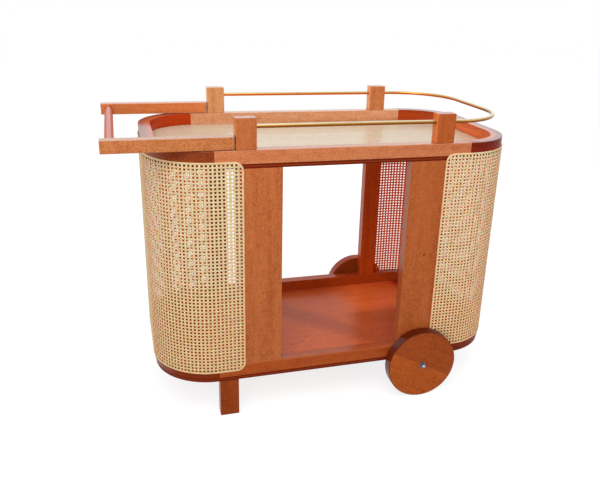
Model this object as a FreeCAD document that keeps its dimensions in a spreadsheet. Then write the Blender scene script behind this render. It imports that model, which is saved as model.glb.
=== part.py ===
import FreeCAD, Part
import os
import Sketcher

# A two-tier serving trolley: two oval wooden trays joined by four posts, curved cane
# panels round both ends, a brass rail over the upper tray, a push handle at the left,
# two legs under the left end and two wooden disc wheels under the right end.
#
# Millimetres. +X runs from the handle to the wheels, -Y is the open front side and +Z is
# up. The origin is on the floor, under the middle of the whole object's length and width.

SIZES = [
    # trays: a wooden rim on a thin deck board
    ("tray_length", 970, "overall length of a tray"),
    ("tray_width", 520, "overall width of a tray"),
    ("corner_radius", 153, "outer radius of a tray's corners, seen from above"),
    ("end_leg", 2, "straight leg of a rim's U-shaped end beyond its curve"),
    ("rim_width", 32, "rim, seen from above"),
    ("rim_height", 33, "rim, above its deck board"),
    ("rim_edge", 1.5, "rounded edges of the rims"),
    ("deck_thickness", 11, "deck board under each rim"),
    ("deck_inset", 2, "deck board's edge, inside the rim's face"),
    ("tray_rise", 570, "from the lower rim's top to the upper rim's top"),
    # posts between the trays
    ("post_depth", 30, "posts, front to back"),
    ("front_post_width", 110, "front posts, along the trolley"),
    ("front_post_from_curve", 55, "from the start of the curve to a front post"),
    ("back_post_width", 50, "back posts, along the trolley"),
    ("back_post_from_curve", 52, "from the start of the curve to a back post"),
    ("post_edge", 1, "rounded upright edges of the posts"),
    # cane panels
    ("cane_thickness", 3, "woven cane with its border"),
    ("cane_fit", 0.1, "glue line between cane and wood"),
    ("cane_from_curve", 70, "straight run of a panel past the start of the curve"),
    ("cane_over_upper_rim", 7, "how far a panel laps the upper rim"),
    ("cane_over_lower_rim", 17, "how far a panel laps the lower rim"),
    ("cane_corner", 22, "rounded free corners of a panel"),
    ("cane_opening", 34, "side of an opening in the plain grid that stands for the weave"),
    # rail blocks and the brass rail
    ("block_width", 50, "rail block, along the trolley"),
    ("block_depth", 30, "rail block, front to back"),
    ("block_height", 75, "rail block, above the rim"),
    ("block_from_curve", 52, "from the start of the curve to a block"),
    ("block_setback", 2, "block's outer face, inside the rim's face"),
    ("block_edge", 2, "rounded edges of the blocks"),
    ("rail_diameter", 10, "brass rail"),
    ("rail_rise", 53, "rail's centre above the rim"),
    ("rail_past_block", 21, "from the right blocks to the start of the rail's bends"),
    ("rail_end_setback", 26, "rail's centre, inside the tray's end"),
    ("rail_seat", 20, "how deep the rail's ends sit in the left blocks"),
    ("rail_fit", 0.1, "gap round the rail in its blocks"),
    # push handle
    ("handle_overhang", 95, "how far the arms reach past the tray's end"),
    ("arm_size", 30, "square section of the arms"),
    ("arm_setback", 1, "arm's outer face, inside the rim's face"),
    ("arm_lift", 1.5, "shadow gap between an arm and the rim under it"),
    ("arm_gap", 2.5, "shadow gap between an arm's end and its block"),
    ("arm_edge", 1.5, "rounded edges of the arms"),
    ("grip_diameter", 22, "round grip between the arms"),
    ("grip_inset", 21, "grip's centre from the free ends of the arms"),
    ("grip_seat", 15, "how deep the grip sits in each arm"),
    ("grip_fit", 0.1, "gap round the grip in the arms"),
    # legs
    ("leg_width", 50, "legs, along the trolley"),
    ("leg_depth", 30, "legs, front to back"),
    ("leg_edge", 3, "rounded edges of the legs"),
    # wheels and axle
    ("wheel_diameter", 200, "wooden disc wheels"),
    ("wheel_thickness", 32, "wooden disc wheels"),
    ("wheel_from_curve", 100, "from the start of the curve to the axle"),
    ("wheel_gap", 5, "between a wheel and the rim's face"),
    ("wheel_edge", 2.5, "rounded edges of the wheels"),
    ("bush_wall", 2, "bearing bush in each wheel"),
    ("bush_fit", 0.05, "gap round the bush in its wheel"),
    ("axle_diameter", 10, "steel axle"),
    ("axle_clearance", 0.05, "running gap between axle and bush"),
    ("axle_fit", 0.1, "gap round the axle in its groove and its spacers"),
    ("axle_cover", 1, "between the axle and the deck board above it"),
    ("axle_end_diameter", 8, "turned ends of the axle that take the nuts"),
    ("side_clearance", 0.3, "end play on each side of a wheel"),
    ("beam_width", 60, "axle beam, along the trolley"),
    ("beam_height", 40, "axle beam, under the lower deck and as long as it is wide"),
    ("beam_edge", 2, "rounded long edges of the beam"),
    ("spacer_wall", 3, "spacer between beam and wheel"),
    ("washer_diameter", 16, "washer under each nut"),
    ("washer_thickness", 1.6, "washer under each nut"),
    ("nut_flats", 13, "dome nut, across its flats"),
    ("nut_hex_height", 7, "hexagonal part of a dome nut"),
    ("nut_dome_radius", 6.2, "dome of a dome nut"),
    ("nut_thread_depth", 10, "blind thread of a dome nut"),
    ("nut_fit", 0.1, "gap at the thread and in the washer"),
    # dowels
    ("dowel_diameter", 10, "dowels of posts, legs, seams and handle"),
    ("dowel_fit", 0.1, "glue line round the dowels"),
    ("dowel_in_post", 25, "depth of a dowel in a post or a leg"),
    ("post_dowel_in_rim", 12, "depth of a post's upper dowel in the rim"),
    ("foot_dowel_in_rim", 20, "depth of a post's lower dowel in the rim"),
    ("leg_dowel_in_rim", 8, "depth of a leg's dowel in the rim"),
    ("front_dowel_spacing", 60, "dowels of a front post"),
    ("back_dowel_spacing", 24, "dowels of a back post"),
    ("leg_dowel_spacing", 20, "dowels of a leg"),
    ("seam_dowel_depth", 25, "depth of a dowel on each side of a seam"),
    ("arm_dowel_in_arm", 25, "depth of the handle's dowels in the arms"),
    ("arm_dowel_in_block", 18, "depth of the handle's dowels in the blocks"),
    ("block_dowel_diameter", 8, "dowels under the blocks"),
    ("block_dowel_in_rim", 18, "depth of a block's dowels in the rim"),
    ("block_dowel_in_block", 25, "depth of a block's dowels in the block"),
    ("block_dowel_inset", 14, "from a block's inner face to its dowels"),
    ("block_dowel_spacing", 14, "dowels of a block, front to back"),
    # screws
    ("screw_diameter", 4, "wood screws"),
    ("screw_head_diameter", 8, "countersunk heads"),
    ("screw_head_height", 2.5, "countersunk heads"),
    ("screw_fit", 0.1, "gap round the screws"),
    ("deck_screw_length", 35, "screws through a deck into its rim"),
    ("rail_screw_offset", 80, "from the tray's middle to a long side's screws"),
    ("end_screw_offset", 60, "from the tray's middle line to an end's screws"),
    ("beam_screw_length", 47, "screws through the beam into the lower deck"),
    ("beam_screw_offset", 20, "from the axle to the beam's screws, along the trolley"),
    ("beam_screw_reach", 150, "from the middle line to the beam's screws"),
]

# Places that follow from the sizes. Those along X are measured from the tray's middle.
PLACES = [
    ("tray_middle", "(sizes.handle_overhang - sizes.cane_fit - sizes.cane_thickness) / 2"),
    ("curve_start", "sizes.tray_length / 2 - sizes.corner_radius"),
    ("seam", "curve_start - sizes.end_leg"),
    ("face", "sizes.tray_width / 2"),
    ("rim_line", "face - sizes.rim_width / 2"),
    ("rim_end_line", "sizes.tray_length / 2 - sizes.rim_width / 2"),
    ("axle_height", "sizes.wheel_diameter / 2"),
    ("lower_deck_bottom", "axle_height + sizes.axle_diameter / 2 + sizes.axle_cover"),
    ("lower_rim_bottom", "lower_deck_bottom + sizes.deck_thickness"),
    ("lower_rim_top", "lower_rim_bottom + sizes.rim_height"),
    ("upper_rim_top", "lower_rim_top + sizes.tray_rise"),
    ("upper_rim_bottom", "upper_rim_top - sizes.rim_height"),
    ("upper_deck_bottom", "upper_rim_bottom - sizes.deck_thickness"),
    ("front_post_outer", "curve_start - sizes.front_post_from_curve"),
    ("back_post_outer", "curve_start - sizes.back_post_from_curve"),
    ("post_line", "face - sizes.post_depth / 2"),
    ("cane_bottom", "lower_rim_top - sizes.cane_over_lower_rim"),
    ("cane_top", "upper_rim_bottom + sizes.cane_over_upper_rim"),
    ("cane_height", "cane_top - cane_bottom"),
    ("cane_face", "face + sizes.cane_fit + sizes.cane_thickness"),
    ("cane_radius", "sizes.corner_radius + sizes.cane_fit + sizes.cane_thickness"),
    ("corner_line", "face - sizes.corner_radius"),
    ("block_outer", "curve_start - sizes.block_from_curve"),
    ("block_inner", "block_outer - sizes.block_width"),
    ("block_line", "face - sizes.block_setback - sizes.block_depth / 2"),
    ("rail_height", "upper_rim_top + sizes.rail_rise"),
    ("rail_bend_x", "block_outer + sizes.rail_past_block"),
    ("rail_bend", "sizes.tray_length / 2 - sizes.rail_end_setback - rail_bend_x"),
    ("rail_bend_y", "block_line - rail_bend"),
    ("arm_end", "sizes.tray_length / 2 + sizes.handle_overhang"),
    ("arm_start", "block_outer + sizes.arm_gap"),
    ("arm_bottom", "upper_rim_top + sizes.arm_lift"),
    ("arm_line", "face - sizes.arm_setback - sizes.arm_size / 2"),
    ("grip_reach", "arm_line - sizes.arm_size / 2 + sizes.grip_seat"),
    ("leg_outer", "seam"),
    ("leg_line", "face - sizes.leg_depth / 2"),
    ("wheel_middle", "curve_start - sizes.wheel_from_curve"),
    ("wheel_inner_face", "face + sizes.wheel_gap"),
    ("wheel_outer_face", "wheel_inner_face + sizes.wheel_thickness"),
    ("axle_shoulder", "wheel_outer_face + sizes.side_clearance"),
    ("beam_reach", "face - sizes.deck_inset"),
    ("beam_bottom", "lower_deck_bottom - sizes.beam_height"),
    ("bush_outer", "sizes.axle_diameter + 2 * sizes.axle_clearance + 2 * sizes.bush_wall"),
]

doc = FreeCAD.newDocument("serving_trolley")


def add_sheet(name, rows):
    """A sheet with one row a value: the value with its name as alias, and a note."""
    sheet = doc.addObject("Spreadsheet::Sheet", name)
    for row, (alias, value, note) in enumerate(rows, start=1):
        sheet.set(f"A{row}", value)
        sheet.setAlias(f"A{row}", alias)
        sheet.set(f"B{row}", note)
    doc.recompute()
    return sheet


sizes = add_sheet("sizes", [(alias, str(value), note) for alias, value, note in SIZES])
places = add_sheet("places", [(alias, "=" + formula, "") for alias, formula in PLACES])

nodes = []  # the finished pieces, each of which is written to a file of its own
blanks = {}  # pieces that still have to be drilled, by name
holes = {}  # the holes in each of those pieces


# ---- helpers ----------------------------------------------------------------------------


def bind(thing, **formulas):
    """Tie a feature's properties to the sheets."""
    for name, formula in formulas.items():
        thing.setExpression(name, formula)


def place(thing, x, y, z):
    """Tie a piece's place to the sheets; x is measured from the tray's middle."""
    thing.setExpression("Placement.Base.x", f"places.tray_middle + ({x})")
    thing.setExpression("Placement.Base.y", y)
    thing.setExpression("Placement.Base.z", z)


def number(formula):
    """What a formula comes to now, for a sketch's first drawing."""
    return float(sizes.evalExpression(formula))


def same(first, second):
    """Two lengths that are equal but for rounding."""
    return abs(first - second) < 0.001


def along(directions):
    """A test for straight edges that run along one of the axes named."""
    axes = {"X": FreeCAD.Vector(1, 0, 0), "Y": FreeCAD.Vector(0, 1, 0), "Z": FreeCAD.Vector(0, 0, 1)}

    def test(edge):
        if not isinstance(edge.Curve, Part.Line):
            return False
        return any(abs(edge.Curve.Direction.dot(axes[axis])) > 0.999 for axis in directions)

    return test


def round_over(body, feature, test, radius):
    """Round those edges of a body's last feature that pass the test."""
    doc.recompute()
    rounding = body.newObject("PartDesign::Fillet", body.Name + "_rounding")
    rounding.Base = (
        feature,
        [f"Edge{i}" for i, edge in enumerate(feature.Shape.Edges, start=1) if test(edge)],
    )
    bind(rounding, Radius=radius)
    return rounding


def plank(label, size, corner, radius, rounded):
    """A straight length of wood, from its lowest corner, with rounded edges."""
    body = doc.addObject("PartDesign::Body", label)
    box = body.newObject("PartDesign::AdditiveBox", label + "_box")
    bind(box, Length=size[0], Width=size[1], Height=size[2])
    place(body, *corner)
    round_over(body, box, rounded, radius)
    return body


def new_sketch(body, name, plane_role):
    """An empty sketch on one of the body's own origin planes."""
    sketch = body.newObject("Sketcher::SketchObject", name)
    planes = {feature.Role: feature for feature in body.Origin.OriginFeatures}
    sketch.AttachmentSupport = (planes[plane_role], [""])
    sketch.MapMode = "FlatFace"
    return sketch


def dimension(sketch, name, formula, kind, *where):
    """A dimension of a sketch that is tied to the sheets."""
    index = sketch.addConstraint(Sketcher.Constraint(kind, *where, number(formula)))
    sketch.renameConstraint(index, name)
    sketch.setExpression(f"Constraints.{name}", formula)


def line(x_start, y_start, x_end, y_end):
    return Part.LineSegment(FreeCAD.Vector(x_start, y_start), FreeCAD.Vector(x_end, y_end))


def quarter_arc(x, y, radius, first_quarter):
    """A quarter circle, counter-clockwise from that many right angles."""
    circle = Part.Circle(FreeCAD.Vector(x, y), FreeCAD.Vector(0, 0, 1), radius)
    right_angle = 1.5707963267948966
    return Part.ArcOfCircle(circle, first_quarter * right_angle, (first_quarter + 1) * right_angle)


START, END, CENTRE = range(1, 4)  # the points of a sketch's line or arc
X_AXIS, Y_AXIS = range(-1, -3, -1)  # a sketch's own axes
ORIGIN = X_AXIS  # the origin is where the X axis starts


def join(sketch, kind, *pairs):
    """Join the ends of lines and arcs, each pair given as piece, point, piece, point."""
    for pair in pairs:
        sketch.addConstraint(Sketcher.Constraint(kind, *pair))


def draw_band(sketch, width, radius, thickness, leg):
    """A U seen from above: two legs, two quarter arcs and a straight, of one thickness."""
    outer = number(radius)
    inner = outer - number(thickness)
    centre = number(width) / 2 - outer
    back = -number(leg)
    sketch.addGeometry(
        [
            line(back, -centre - outer, 0, -centre - outer),
            quarter_arc(0, -centre, outer, -1),
            line(outer, -centre, outer, centre),
            quarter_arc(0, centre, outer, 0),
            line(0, centre + outer, back, centre + outer),
            line(back, centre + outer, back, centre + inner),
            line(back, centre + inner, 0, centre + inner),
            quarter_arc(0, centre, inner, 0),
            line(inner, centre, inner, -centre),
            quarter_arc(0, -centre, inner, -1),
            line(0, -centre - inner, back, -centre - inner),
            line(back, -centre - inner, back, -centre - outer),
        ]
    )
    join(sketch, "Tangent", (0, END, 1, START), (1, END, 2, START), (2, END, 3, START), (3, END, 4, START))
    join(sketch, "Tangent", (6, END, 7, END), (7, START, 8, START), (8, END, 9, END), (9, START, 10, START))
    join(sketch, "Coincident", (4, END, 5, START), (5, END, 6, START), (10, END, 11, START))
    join(sketch, "Coincident", (11, END, 0, START), (9, CENTRE, 1, CENTRE), (7, CENTRE, 3, CENTRE))
    join(sketch, "Symmetric", (1, CENTRE, 3, CENTRE, X_AXIS))
    join(sketch, "PointOnObject", (1, CENTRE, Y_AXIS))
    join(sketch, "Horizontal", (0,), (4,), (6,), (10,))
    join(sketch, "Vertical", (5,), (11,))
    join(sketch, "Equal", (1, 3), (9, 7), (0, 4))
    dimension(sketch, "outer_radius", radius, "Radius", 1)
    dimension(sketch, "inner_radius", f"{radius} - {thickness}", "Radius", 9)
    dimension(sketch, "curve_centre", f"({width}) / 2 - ({radius})", "DistanceY", ORIGIN, START, 3, CENTRE)
    dimension(sketch, "leg", leg, "Distance", 0)


def band(label, width, radius, thickness, leg, height, side, bottom):
    """A U-shaped band round an end of the trolley: side is 1 for the right end, -1 for the left."""
    body = doc.addObject("PartDesign::Body", label)
    sketch = new_sketch(body, label + "_outline", "XY_Plane")
    draw_band(sketch, width, radius, thickness, leg)
    pad = body.newObject("PartDesign::Pad", label + "_pad")
    pad.Profile = sketch
    bind(pad, Length=height)
    body.Placement.Rotation = FreeCAD.Rotation(FreeCAD.Vector(0, 0, 1), 0 if side > 0 else 180)
    place(body, f"{side} * places.curve_start", "0", bottom)
    return body, pad


def ring(label, outer, inner, length, x, y, z):
    """A round piece with a bore, lying along Y from its lowest y."""
    body = doc.addObject("PartDesign::Body", label)
    sketch = new_sketch(body, label + "_outline", "XZ_Plane")
    for diameter in (outer, inner):
        circle = Part.Circle(FreeCAD.Vector(0, 0), FreeCAD.Vector(0, 0, 1), number(diameter) / 2)
        index = sketch.addGeometry(circle)
        join(sketch, "Coincident", (index, CENTRE, ORIGIN, START))
        dimension(sketch, "outer" if diameter == outer else "bore", diameter, "Diameter", index)
    pad = body.newObject("PartDesign::Pad", label + "_pad")
    pad.Profile = sketch
    pad.Reversed = True  # the XZ plane faces -Y
    bind(pad, Length=length)
    place(body, x, y, z)
    return body, pad


TURNS = {
    "X": FreeCAD.Rotation(FreeCAD.Vector(0, 1, 0), 90),
    "Y": FreeCAD.Rotation(FreeCAD.Vector(1, 0, 0), -90),
    "Z": FreeCAD.Rotation(),
}


def rod(name, diameter, length, start, axis):
    """A plain cylinder from its start along an axis."""
    cylinder = doc.addObject("Part::Cylinder", name)
    bind(cylinder, Radius=f"({diameter}) / 2", Height=length)
    cylinder.Placement.Rotation = TURNS[axis]
    place(cylinder, *start)
    return cylinder


def hole_for(name, diameter, length, start, axis, fit, pieces):
    """The hole that a round thing needs, with its fit all round, in every piece named."""
    back_off = [f"{at} - {fit}" if axis == along_axis else at for at, along_axis in zip(start, "XYZ")]
    hole = rod(name + "_hole", f"{diameter} + 2 * {fit}", f"{length} + 2 * {fit}", back_off, axis)
    for piece in pieces:
        holes.setdefault(piece, []).append(hole)


def dowel(name, diameter, length, start, axis, pieces):
    """A glued dowel and its hole in the pieces that it joins."""
    hole_for(name, diameter, length, start, axis, "sizes.dowel_fit", pieces)
    return rod(name, diameter, length, start, axis)


def screw_shape(name, length, x, y, z, fit):
    """A countersunk screw that points up from its head at z, or with a fit, its hole."""
    head = doc.addObject("Part::Cone", name + "_head")
    bind(
        head,
        Radius1=f"sizes.screw_head_diameter / 2 + {fit}",
        Radius2=f"sizes.screw_diameter / 2 + {fit}",
        Height="sizes.screw_head_height",
    )
    place(head, x, y, z)
    shank = rod(name + "_shank", f"sizes.screw_diameter + 2 * {fit}", f"{length} + {fit}", (x, y, z), "Z")
    screw = doc.addObject("Part::Fuse", name)
    screw.Base = head
    screw.Tool = shank
    return screw


def wood_screw(name, length, x, y, z, pieces):
    """A screw and its hole in the pieces that it joins."""
    hole = screw_shape(name + "_hole", length, x, y, z, "sizes.screw_fit")
    for piece in pieces:
        holes.setdefault(piece, []).append(hole)
    return screw_shape(name, length, x, y, z, "0")


def group(label, members):
    """Like pieces that share one node, each a solid of its own."""
    compound = doc.addObject("Part::Compound", label)
    compound.Links = members
    nodes.append(compound)


def side_sign(side):
    """-1 for the left and front sides, 1 for the right and back sides."""
    return -1 if side in ("left", "front") else 1


def low_edge(sign, outer, size):
    """The lower of a piece's two edges, where outer is its edge away from the middle."""
    return f"-({outer})" if sign < 0 else f"{outer} - {size}"


# ---- trays ------------------------------------------------------------------------------

for tray in ("upper", "lower"):
    rim_bottom = f"places.{tray}_rim_bottom"
    deck_bottom = f"places.{tray}_deck_bottom"

    for side in ("front", "back"):
        name = f"{tray}_{side}_rail"
        blanks[name] = plank(
            name + "_blank",
            ("2 * places.seam", "sizes.rim_width", "sizes.rim_height"),
            ("-places.seam", low_edge(side_sign(side), "places.face", "sizes.rim_width"), rim_bottom),
            "sizes.rim_edge",
            along("X"),
        )

    for side in ("left", "right"):
        name = f"{tray}_{side}_end"
        body, pad = band(
            name + "_blank",
            "sizes.tray_width",
            "sizes.corner_radius",
            "sizes.rim_width",
            "sizes.end_leg",
            "sizes.rim_height",
            side_sign(side),
            rim_bottom,
        )

        def long_edge(edge, seam_x=-number("sizes.end_leg")):
            """Every edge that follows the outline, and none that lies in the seam."""
            box = edge.BoundBox
            return same(box.ZLength, 0) and not same(box.XMax, seam_x)

        round_over(body, pad, long_edge, "sizes.rim_edge")
        blanks[name] = body

    name = f"{tray}_deck"
    body = doc.addObject("PartDesign::Body", name + "_blank")
    board = body.newObject("PartDesign::AdditiveBox", name + "_board")
    bind(
        board,
        Length="sizes.tray_length - 2 * sizes.deck_inset",
        Width="sizes.tray_width - 2 * sizes.deck_inset",
        Height="sizes.deck_thickness",
    )
    place(
        body,
        "sizes.deck_inset - sizes.tray_length / 2",
        "sizes.deck_inset - places.face",
        deck_bottom,
    )
    round_over(body, board, along("Z"), "sizes.corner_radius - sizes.deck_inset")
    blanks[name] = body

# ---- posts ------------------------------------------------------------------------------

post_dowels = {"upper": [], "lower": []}
for depth in ("front", "back"):
    for side in ("left", "right"):
        name = f"{depth}_{side}_post"
        width = f"sizes.{depth}_post_width"
        left_edge = low_edge(side_sign(side), f"places.{depth}_post_outer", width)
        blanks[name] = plank(
            name + "_blank",
            (width, "sizes.post_depth", "places.upper_deck_bottom - places.lower_rim_top"),
            (
                left_edge,
                low_edge(side_sign(depth), "places.face", "sizes.post_depth"),
                "places.lower_rim_top",
            ),
            "sizes.post_edge",
            along("Z"),
        )
        for step in (-1, 1):
            x = f"{left_edge} + {width} / 2 + {step} * sizes.{depth}_dowel_spacing / 2"
            y = f"{side_sign(depth)} * places.post_line"
            end = "left" if step < 0 else "right"
            post_dowels["upper"].append(
                dowel(
                    f"{name}_top_{end}_dowel",
                    "sizes.dowel_diameter",
                    "sizes.dowel_in_post + sizes.deck_thickness + sizes.post_dowel_in_rim",
                    (x, y, "places.upper_deck_bottom - sizes.dowel_in_post"),
                    "Z",
                    (name, "upper_deck", f"upper_{depth}_rail"),
                )
            )
            post_dowels["lower"].append(
                dowel(
                    f"{name}_foot_{end}_dowel",
                    "sizes.dowel_diameter",
                    "sizes.foot_dowel_in_rim + sizes.dowel_in_post",
                    (x, y, "places.lower_rim_top - sizes.foot_dowel_in_rim"),
                    "Z",
                    (name, f"lower_{depth}_rail"),
                )
            )
for tray, members in post_dowels.items():
    group(f"{tray}_post_dowels", members)

# ---- seams between rails and ends ---------------------------------------------------------

for tray in ("upper", "lower"):
    seam_dowels = []
    for depth in ("front", "back"):
        for side in ("left", "right"):
            seam_dowels.append(
                dowel(
                    f"{tray}_{depth}_{side}_seam_dowel",
                    "sizes.dowel_diameter",
                    "2 * sizes.seam_dowel_depth",
                    (
                        f"{side_sign(side)} * places.seam - sizes.seam_dowel_depth",
                        f"{side_sign(depth)} * places.rim_line",
                        f"places.{tray}_rim_bottom + sizes.rim_height / 2",
                    ),
                    "X",
                    (f"{tray}_{depth}_rail", f"{tray}_{side}_end"),
                )
            )
    group(f"{tray}_seam_dowels", seam_dowels)

# ---- cane panels --------------------------------------------------------------------------
#
# A plain grid of openings stands for the weave: an opening is where an upright column meets
# a level row. The grid is drawn once, from the start of the curve and the panel's lower edge,
# and serves both panels.


def shares(count):
    """The middles of that many equal parts, as shares of the whole."""
    return [(part + 0.5) / count for part in range(count)]


def cutter(name, length, width, height, x, y, z, angle=0):
    """A box of the grid, turned about its lowest corner."""
    box = doc.addObject("Part::Box", name)
    bind(box, Length=length, Width=width, Height=height)
    box.Placement.Rotation = FreeCAD.Rotation(FreeCAD.Vector(0, 0, 1), angle)
    for axis, formula in zip("xyz", (x, y, z)):
        box.setExpression(f"Placement.Base.{axis}", formula)
    return box


whole_width = "2 * (places.cane_face + sizes.cane_thickness)"
cut_start = "(places.cane_radius - 2 * sizes.cane_thickness)"
cut_length = "3 * sizes.cane_thickness"
cane_columns = [
    cutter(
        "cane_leg_column",
        "sizes.cane_opening",
        whole_width,
        "places.cane_height",
        "-(sizes.cane_from_curve + sizes.cane_opening) / 2",
        "-places.cane_face - sizes.cane_thickness",
        "0",
    )
]
for number_along, share in enumerate(shares(3), start=1):
    cane_columns.append(
        cutter(
            f"cane_end_column_{number_along}",
            cut_length,
            "sizes.cane_opening",
            "places.cane_height",
            cut_start,
            f"{2 * share - 1} * places.corner_line - sizes.cane_opening / 2",
            "0",
        )
    )
    for depth in ("front", "back"):
        angle = side_sign(depth) * 90 * share
        cane_columns.append(
            cutter(
                f"cane_{depth}_corner_column_{number_along}",
                cut_length,
                "sizes.cane_opening",
                "places.cane_height",
                f"cos({angle}) * {cut_start} + sin({angle}) * sizes.cane_opening / 2",
                f"{side_sign(depth)} * places.corner_line"
                f" + sin({angle}) * {cut_start} - cos({angle}) * sizes.cane_opening / 2",
                "0",
                angle,
            )
        )
cane_rows = [
    cutter(
        f"cane_row_{number_up}",
        f"sizes.cane_from_curve + {cut_start} + {cut_length}",
        whole_width,
        "sizes.cane_opening",
        "-sizes.cane_from_curve",
        "-places.cane_face - sizes.cane_thickness",
        f"{share} * places.cane_height - sizes.cane_opening / 2",
    )
    for number_up, share in enumerate(shares(8), start=1)
]
grid = doc.addObject("Part::Common", "cane_grid")
grid.Base = doc.addObject("Part::Compound", "cane_columns")
grid.Base.Links = cane_columns
grid.Tool = doc.addObject("Part::Compound", "cane_rows")
grid.Tool.Links = cane_rows

for side in ("left", "right"):
    name = f"{side}_cane_panel"
    body, pad = band(
        name + "_blank",
        "2 * places.cane_face",
        "places.cane_radius",
        "sizes.cane_thickness",
        "sizes.cane_from_curve",
        "places.cane_height",
        side_sign(side),
        "places.cane_bottom",
    )

    def free_corner(edge, free_x=-number("sizes.cane_from_curve")):
        """The short edges across the sheet at its four free corners."""
        box = edge.BoundBox
        return same(box.ZLength, 0) and same(box.XMax, free_x)

    round_over(body, pad, free_corner, "sizes.cane_corner")
    blanks[name] = body
    openings = doc.addObject("Part::Compound", name + "_openings")
    openings.Links = [grid]
    openings.Placement.Rotation = body.Placement.Rotation
    place(openings, f"{side_sign(side)} * places.curve_start", "0", "places.cane_bottom")
    holes[name] = [openings]

# ---- rail blocks --------------------------------------------------------------------------

block_dowels = []
for depth in ("front", "back"):
    for side in ("left", "right"):
        name = f"{depth}_{side}_block"
        sign = side_sign(side)
        blanks[name] = plank(
            name + "_blank",
            ("sizes.block_width", "sizes.block_depth", "sizes.block_height"),
            (
                low_edge(sign, "places.block_outer", "sizes.block_width"),
                f"{side_sign(depth)} * places.block_line - sizes.block_depth / 2",
                "places.upper_rim_top",
            ),
            "sizes.block_edge",
            along("XYZ"),
        )
        for step in (-1, 1):
            block_dowels.append(
                dowel(
                    f"{name}_{'front' if step < 0 else 'back'}_dowel",
                    "sizes.block_dowel_diameter",
                    "sizes.block_dowel_in_rim + sizes.block_dowel_in_block",
                    (
                        f"{sign} * (places.block_inner + sizes.block_dowel_inset)",
                        f"{side_sign(depth)} * places.block_line + {step} * sizes.block_dowel_spacing / 2",
                        "places.upper_rim_top - sizes.block_dowel_in_rim",
                    ),
                    "Z",
                    (name, f"upper_{depth}_rail"),
                )
            )
group("block_dowels", block_dowels)

# ---- brass rail ---------------------------------------------------------------------------

rail = doc.addObject("PartDesign::Body", "gallery_rail")
rail_start = "places.block_inner + sizes.rail_seat"
path = new_sketch(rail, "gallery_rail_path", "XY_Plane")
start_x = -number(rail_start)
bend_x = number("places.rail_bend_x")
bend_y = number("places.rail_bend_y")
bend = number("places.rail_bend")
path.addGeometry(
    [
        line(start_x, -bend_y - bend, bend_x, -bend_y - bend),
        quarter_arc(bend_x, -bend_y, bend, -1),
        line(bend_x + bend, -bend_y, bend_x + bend, bend_y),
        quarter_arc(bend_x, bend_y, bend, 0),
        line(bend_x, bend_y + bend, start_x, bend_y + bend),
    ]
)
join(path, "Tangent", (0, END, 1, START), (1, END, 2, START), (2, END, 3, START), (3, END, 4, START))
join(path, "Symmetric", (1, CENTRE, 3, CENTRE, X_AXIS))
join(path, "Horizontal", (0,), (4,))
join(path, "Equal", (1, 3), (0, 4))
dimension(path, "bend", "places.rail_bend", "Radius", 1)
dimension(path, "bend_x", "places.rail_bend_x", "DistanceX", ORIGIN, START, 3, CENTRE)
dimension(path, "bend_y", "places.rail_bend_y", "DistanceY", ORIGIN, START, 3, CENTRE)
dimension(path, "straight", f"places.rail_bend_x + {rail_start}", "Distance", 0)

section = new_sketch(rail, "gallery_rail_section", "YZ_Plane")
section.addGeometry(Part.Circle(FreeCAD.Vector(0, 0), FreeCAD.Vector(0, 0, 1), number("sizes.rail_diameter") / 2))
join(section, "Coincident", (0, CENTRE, ORIGIN, START))
dimension(section, "thickness", "sizes.rail_diameter", "Diameter", 0)
section.setExpression("AttachmentOffset.Base.x", "-places.block_line")
section.setExpression("AttachmentOffset.Base.z", f"-({rail_start})")

sweep = rail.newObject("PartDesign::AdditivePipe", "gallery_rail_pipe")
sweep.Profile = section
sweep.Spine = path
place(rail, "0", "0", "places.rail_height")
nodes.append(rail)

for depth in ("front", "back"):
    y = f"{side_sign(depth)} * places.block_line"
    hole_for(
        f"{depth}_rail_seat",
        "sizes.rail_diameter",
        "sizes.rail_seat",
        ("-places.block_inner - sizes.rail_seat", y, "places.rail_height"),
        "X",
        "sizes.rail_fit",
        [f"{depth}_left_block"],
    )
    hole_for(
        f"{depth}_rail_passage",
        "sizes.rail_diameter",
        "sizes.block_width",
        ("places.block_inner", y, "places.rail_height"),
        "X",
        "sizes.rail_fit",
        [f"{depth}_right_block"],
    )

# ---- push handle ----------------------------------------------------------------------------

arm_dowels = []
for depth in ("front", "back"):
    name = f"{depth}_handle_arm"
    blanks[name] = plank(
        name + "_blank",
        ("places.arm_end - places.arm_start", "sizes.arm_size", "sizes.arm_size"),
        (
            "-places.arm_end",
            f"{side_sign(depth)} * places.arm_line - sizes.arm_size / 2",
            "places.arm_bottom",
        ),
        "sizes.arm_edge",
        along("XYZ"),
    )
    arm_dowels.append(
        dowel(
            f"{name}_dowel",
            "sizes.dowel_diameter",
            "sizes.arm_dowel_in_arm + sizes.arm_gap + sizes.arm_dowel_in_block",
            (
                "-places.arm_start - sizes.arm_dowel_in_arm",
                f"{side_sign(depth)} * places.arm_line",
                "places.arm_bottom + sizes.arm_size / 2",
            ),
            "X",
            (name, f"{depth}_left_block"),
        )
    )
group("arm_dowels", arm_dowels)

grip_size = (
    "sizes.grip_diameter",
    "2 * places.grip_reach",
    ("sizes.grip_inset - places.arm_end", "-places.grip_reach", "places.arm_bottom + sizes.arm_size / 2"),
    "Y",
)
nodes.append(rod("handle_grip", *grip_size))
hole_for("handle_grip", *grip_size, "sizes.grip_fit", ("front_handle_arm", "back_handle_arm"))

# ---- legs -----------------------------------------------------------------------------------

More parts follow.
